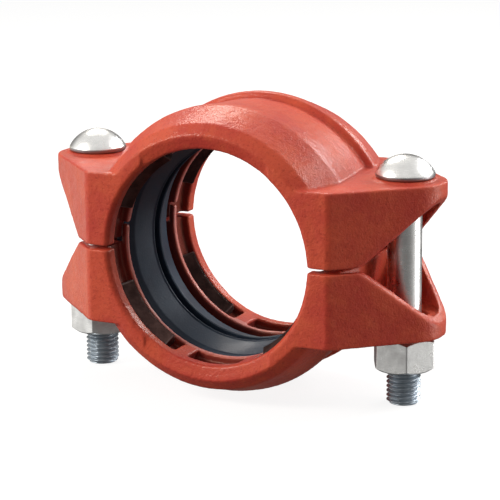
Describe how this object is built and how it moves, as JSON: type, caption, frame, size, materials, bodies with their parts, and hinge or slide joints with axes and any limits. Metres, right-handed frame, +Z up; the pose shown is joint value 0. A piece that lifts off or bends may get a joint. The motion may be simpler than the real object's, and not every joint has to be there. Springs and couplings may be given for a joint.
{
  "type": "bolted pipe coupling",
  "caption": "Bolted coupling that joins plain-end steel pipe: housing halves clamp a rubber ring gasket and hardened gripping jaws round the pipe ends.",
  "frame": {"origin": "middle of the coupling on the pipe axis, between the two housing halves", "axes": "+X from bolt to bolt towards the right-hand bolt, +Y along the pipe towards the rear face, +Z up towards the half that holds the bolt heads"},
  "size_m": [0.238, 0.105, 0.1637],
  "materials": {
    "enamel": "orange-red enamel over ductile iron",
    "rubber": "smooth black",
    "zinc": "bright zinc plated",
    "jaw_steel": "dark hardened steel"
  },
  "bodies": {
    "lower_half": {"lower_housing": "enamel", "jaw_lower_front_left": "jaw_steel", "jaw_lower_front_right": "jaw_steel", "jaw_lower_rear_left": "jaw_steel", "jaw_lower_rear_right": "jaw_steel"},
    "upper_half": {"upper_housing": "enamel", "bolt_left": "zinc", "bolt_right": "zinc", "jaw_upper_front_left": "jaw_steel", "jaw_upper_front_right": "jaw_steel", "jaw_upper_rear_left": "jaw_steel", "jaw_upper_rear_right": "jaw_steel"},
    "nut_left": {"nut_left": "zinc"},
    "nut_right": {"nut_right": "zinc"},
    "gasket": {"gasket": "rubber"}
  },
  "joints": [
    {"name": "nut_left_turn", "type": "hinge", "parent": "lower_half", "child": "nut_left", "pos_m": [-0.096, 0, -0.052], "axis": [0, 0, 1], "range_deg": [-2268.5, 0.5]},
    {"name": "nut_right_turn", "type": "hinge", "parent": "lower_half", "child": "nut_right", "pos_m": [0.096, 0, -0.052], "axis": [0, 0, 1], "range_deg": [-2268.5, 0.5]},
    {"name": "upper_half_lift", "type": "slide", "parent": "lower_half", "child": "upper_half", "axis": [0, 0, 1], "range_m": [0, 0.016]},
    {"name": "gasket_lift", "type": "slide", "parent": "lower_half", "child": "gasket", "axis": [0, 0, 1], "range_m": [0, 0.008]}
  ],
  "couplings": [
    {"joint": "nut_left_turn", "follows": "upper_half_lift", "rad_per_m": -2473.7},
    {"joint": "nut_right_turn", "follows": "upper_half_lift", "rad_per_m": -2473.7},
    {"joint": "gasket_lift", "follows": "upper_half_lift", "ratio": 0.5}
  ]
}
